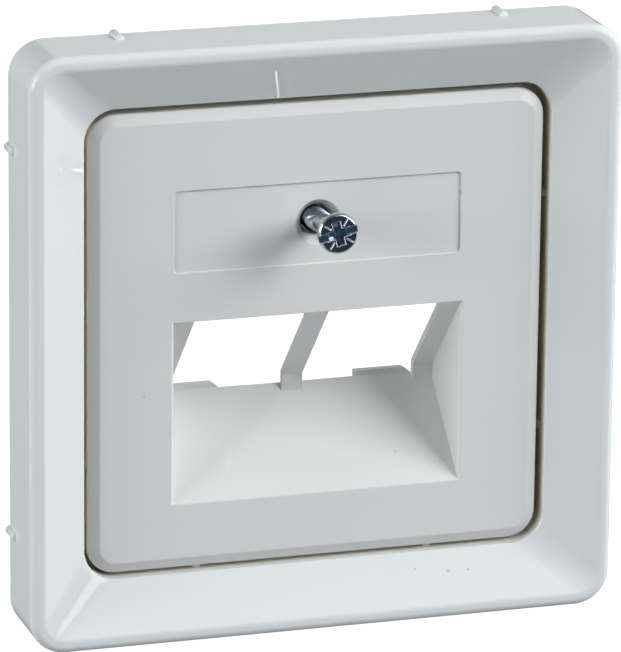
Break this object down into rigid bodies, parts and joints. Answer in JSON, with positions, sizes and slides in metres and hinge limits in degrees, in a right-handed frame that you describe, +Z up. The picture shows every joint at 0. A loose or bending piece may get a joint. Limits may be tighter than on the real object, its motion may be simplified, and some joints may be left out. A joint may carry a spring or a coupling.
{
  "type": "wall plate",
  "caption": "Square wall cover for data sockets: dished outer frame, centre plate with label field and slanted socket window, and a countersunk fixing screw standing part-way out.",
  "frame": {"origin": "middle of the frame's rear edge, on the wall", "axes": "+X to the right and +Z up as seen from the front, +Y into the wall, so the front faces -Y"},
  "size_m": [0.0812, 0.0251, 0.0812],
  "materials": {
    "frame_plastic": "glossy near-white moulding",
    "plate_plastic": "satin near-white moulding",
    "screw_steel": "bright zinc plating"
  },
  "bodies": {
    "cover": {"cover_frame": "frame_plastic", "centre_plate": "plate_plastic"},
    "screw": {"fixing_screw": "screw_steel"}
  },
  "joints": [
    {"name": "screw_travel", "type": "slide", "parent": "cover", "child": "screw", "axis": [0, 0.9986, -0.0523], "range_m": [-0.006, 0.008]}
  ]
}
